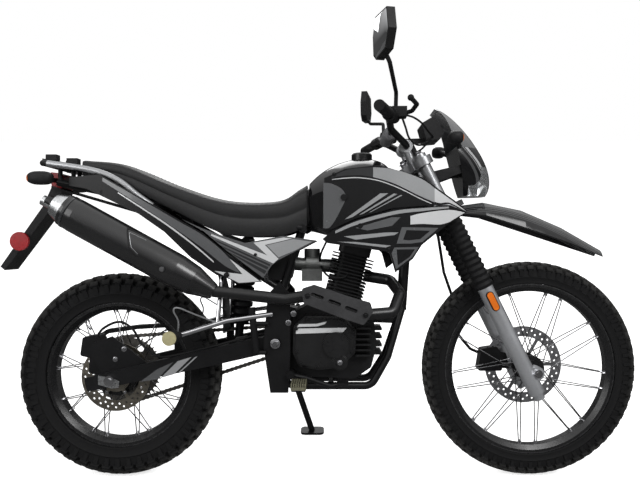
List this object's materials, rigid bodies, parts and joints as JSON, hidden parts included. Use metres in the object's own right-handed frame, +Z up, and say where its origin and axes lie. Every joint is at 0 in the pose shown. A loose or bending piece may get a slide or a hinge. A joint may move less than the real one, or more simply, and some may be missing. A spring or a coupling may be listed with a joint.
{
  "type": "dirt bike",
  "caption": "Dual-sport dirt bike with wire wheels, knobbly tyres, long seat and rack, parked leaning on its side stand; wheels roll, fork steers, stand folds.",
  "frame": {"origin": "on the ground below the centre of the bounding box", "axes": "+X forward along the bike, +Y to the rider's left, +Z up; the bike leans towards +Y on its side stand"},
  "size_m": [2.0692, 1.0536, 1.4285],
  "materials": {
    "frame_paint": "satin black paint",
    "engine_paint": "satin black paint",
    "case_metal": "dark cast",
    "bare_alloy": "satin",
    "fork_silver": "satin silver paint",
    "bright_steel": "polished",
    "disc_steel": "brushed",
    "tyre_rubber": "matte",
    "black_gloss": "gloss black",
    "grey_gloss": "gloss grey",
    "black_plastic": "matte black",
    "seat_cover": "grained black cover",
    "black_rubber": "matte",
    "grey_pad": "soft grey pad",
    "red_lens": "gloss red",
    "clear_lens": "clear",
    "screen_tint": "gloss smoke",
    "shield_grey": "satin grey"
  },
  "bodies": {
    "chassis": {"frame_spine": "frame_paint", "frame_cradle": "frame_paint", "seat_rails": "frame_paint", "swingarm": "frame_paint", "rear_axle": "bright_steel", "rear_shock": "frame_paint", "drive_chain": "disc_steel", "chain_guard": "black_plastic", "engine_case": "engine_paint", "engine_covers": "engine_paint", "engine_cylinder": "engine_paint", "airbox": "black_plastic", "carburettor": "bare_alloy", "exhaust_pipe": "engine_paint", "heat_shield": "shield_grey", "muffler": "engine_paint", "muffler_tip": "bare_alloy", "fuel_tank": "black_gloss", "fuel_cap": "bare_alloy", "tank_wings": "grey_gloss", "tank_shrouds": "black_gloss", "side_panels": "grey_gloss", "tail_panels": "black_gloss", "seat": "seat_cover", "rear_fender": "black_plastic", "rear_rack": "fork_silver", "tail_lamp": "red_lens", "rear_signals": "black_plastic", "foot_controls": "frame_paint", "passenger_pegs": "bright_steel", "rear_brake": "frame_paint"},
    "steering": {"fork_uppers": "fork_silver", "fork_boots": "black_rubber", "fork_sliders": "fork_silver", "front_axle": "bright_steel", "front_fender": "black_gloss", "headlight_shell": "black_gloss", "headlight_lens": "clear_lens", "windscreen": "screen_tint", "instrument_panel": "black_plastic", "front_signals": "black_plastic", "handlebar": "frame_paint", "bar_pad": "grey_pad", "hand_controls": "black_rubber", "mirrors": "black_plastic", "front_caliper": "frame_paint", "brake_hose": "black_rubber"},
    "front_wheel": {"front_tyre": "tyre_rubber", "front_rim": "bright_steel", "front_disc": "disc_steel"},
    "rear_wheel": {"rear_tyre": "tyre_rubber", "rear_rim": "bright_steel", "rear_disc": "disc_steel", "rear_sprocket": "disc_steel"},
    "stand": {"side_stand": "frame_paint"}
  },
  "joints": [
    {"name": "steering", "type": "hinge", "parent": "chassis", "child": "steering", "pos_m": [0.32763, -0.07146, 0.90451], "axis": [-0.4431, 0.1711, 0.88], "range_deg": [-38, 38]},
    {"name": "front_spin", "type": "hinge", "parent": "steering", "child": "front_wheel", "pos_m": [0.68545, -0.18032, 0.34447], "axis": [0, 0.9816, -0.1908], "continuous": true},
    {"name": "rear_spin", "type": "hinge", "parent": "chassis", "child": "rear_wheel", "pos_m": [-0.65455, -0.18394, 0.32582], "axis": [0, 0.9816, -0.1908], "continuous": true},
    {"name": "stand_fold", "type": "hinge", "parent": "chassis", "child": "stand", "pos_m": [-0.11255, -0.03492, 0.29583], "axis": [0.1675, 0.9411, 0.2937], "range_deg": [0, 107.84]}
  ]
}
